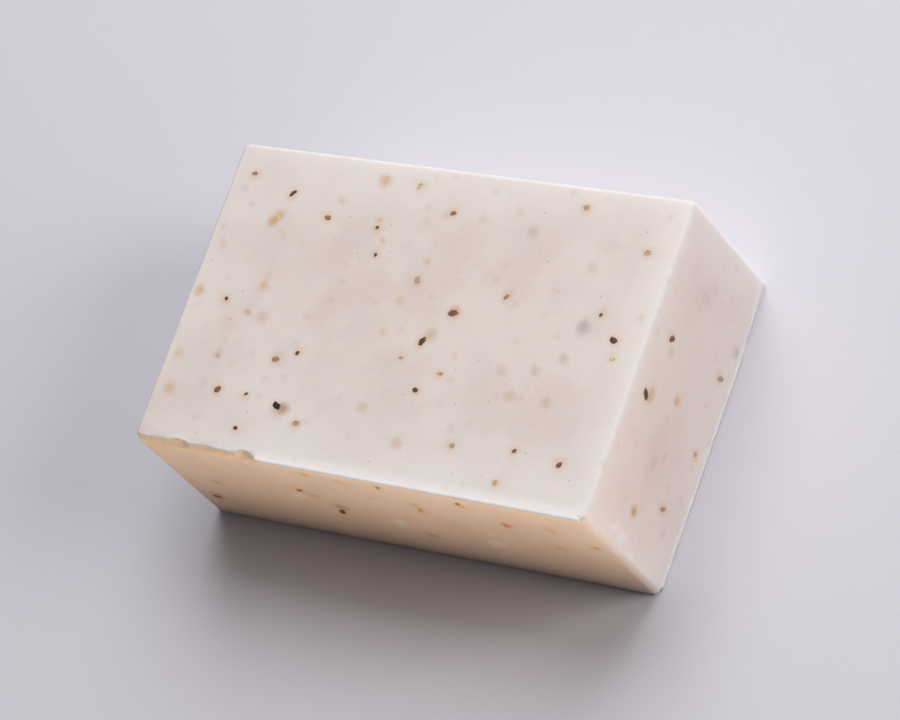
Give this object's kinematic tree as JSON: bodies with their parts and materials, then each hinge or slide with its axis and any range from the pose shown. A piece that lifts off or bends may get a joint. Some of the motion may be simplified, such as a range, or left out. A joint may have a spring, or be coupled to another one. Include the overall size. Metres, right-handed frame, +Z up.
{
  "type": "bar of soap",
  "caption": "Hand-cut rectangular bar of pale soap with herb flecks, eased edges and a flat cut face that it rests on.",
  "frame": {"origin": "middle of the lower cut face, which the bar rests on", "axes": "+X along the bar towards the end that the picture shows, +Y across it towards the side that was the top of the pour, +Z up through the thickness, out of the cut face that shows"},
  "size_m": [0.0803, 0.0528, 0.0291],
  "materials": {
    "soap": "smooth satin soap, slightly translucent, with fine brown and dark herb flecks"
  },
  "bodies": {
    "root": {"soap_bar": "soap"}
  },
  "joints": []
}
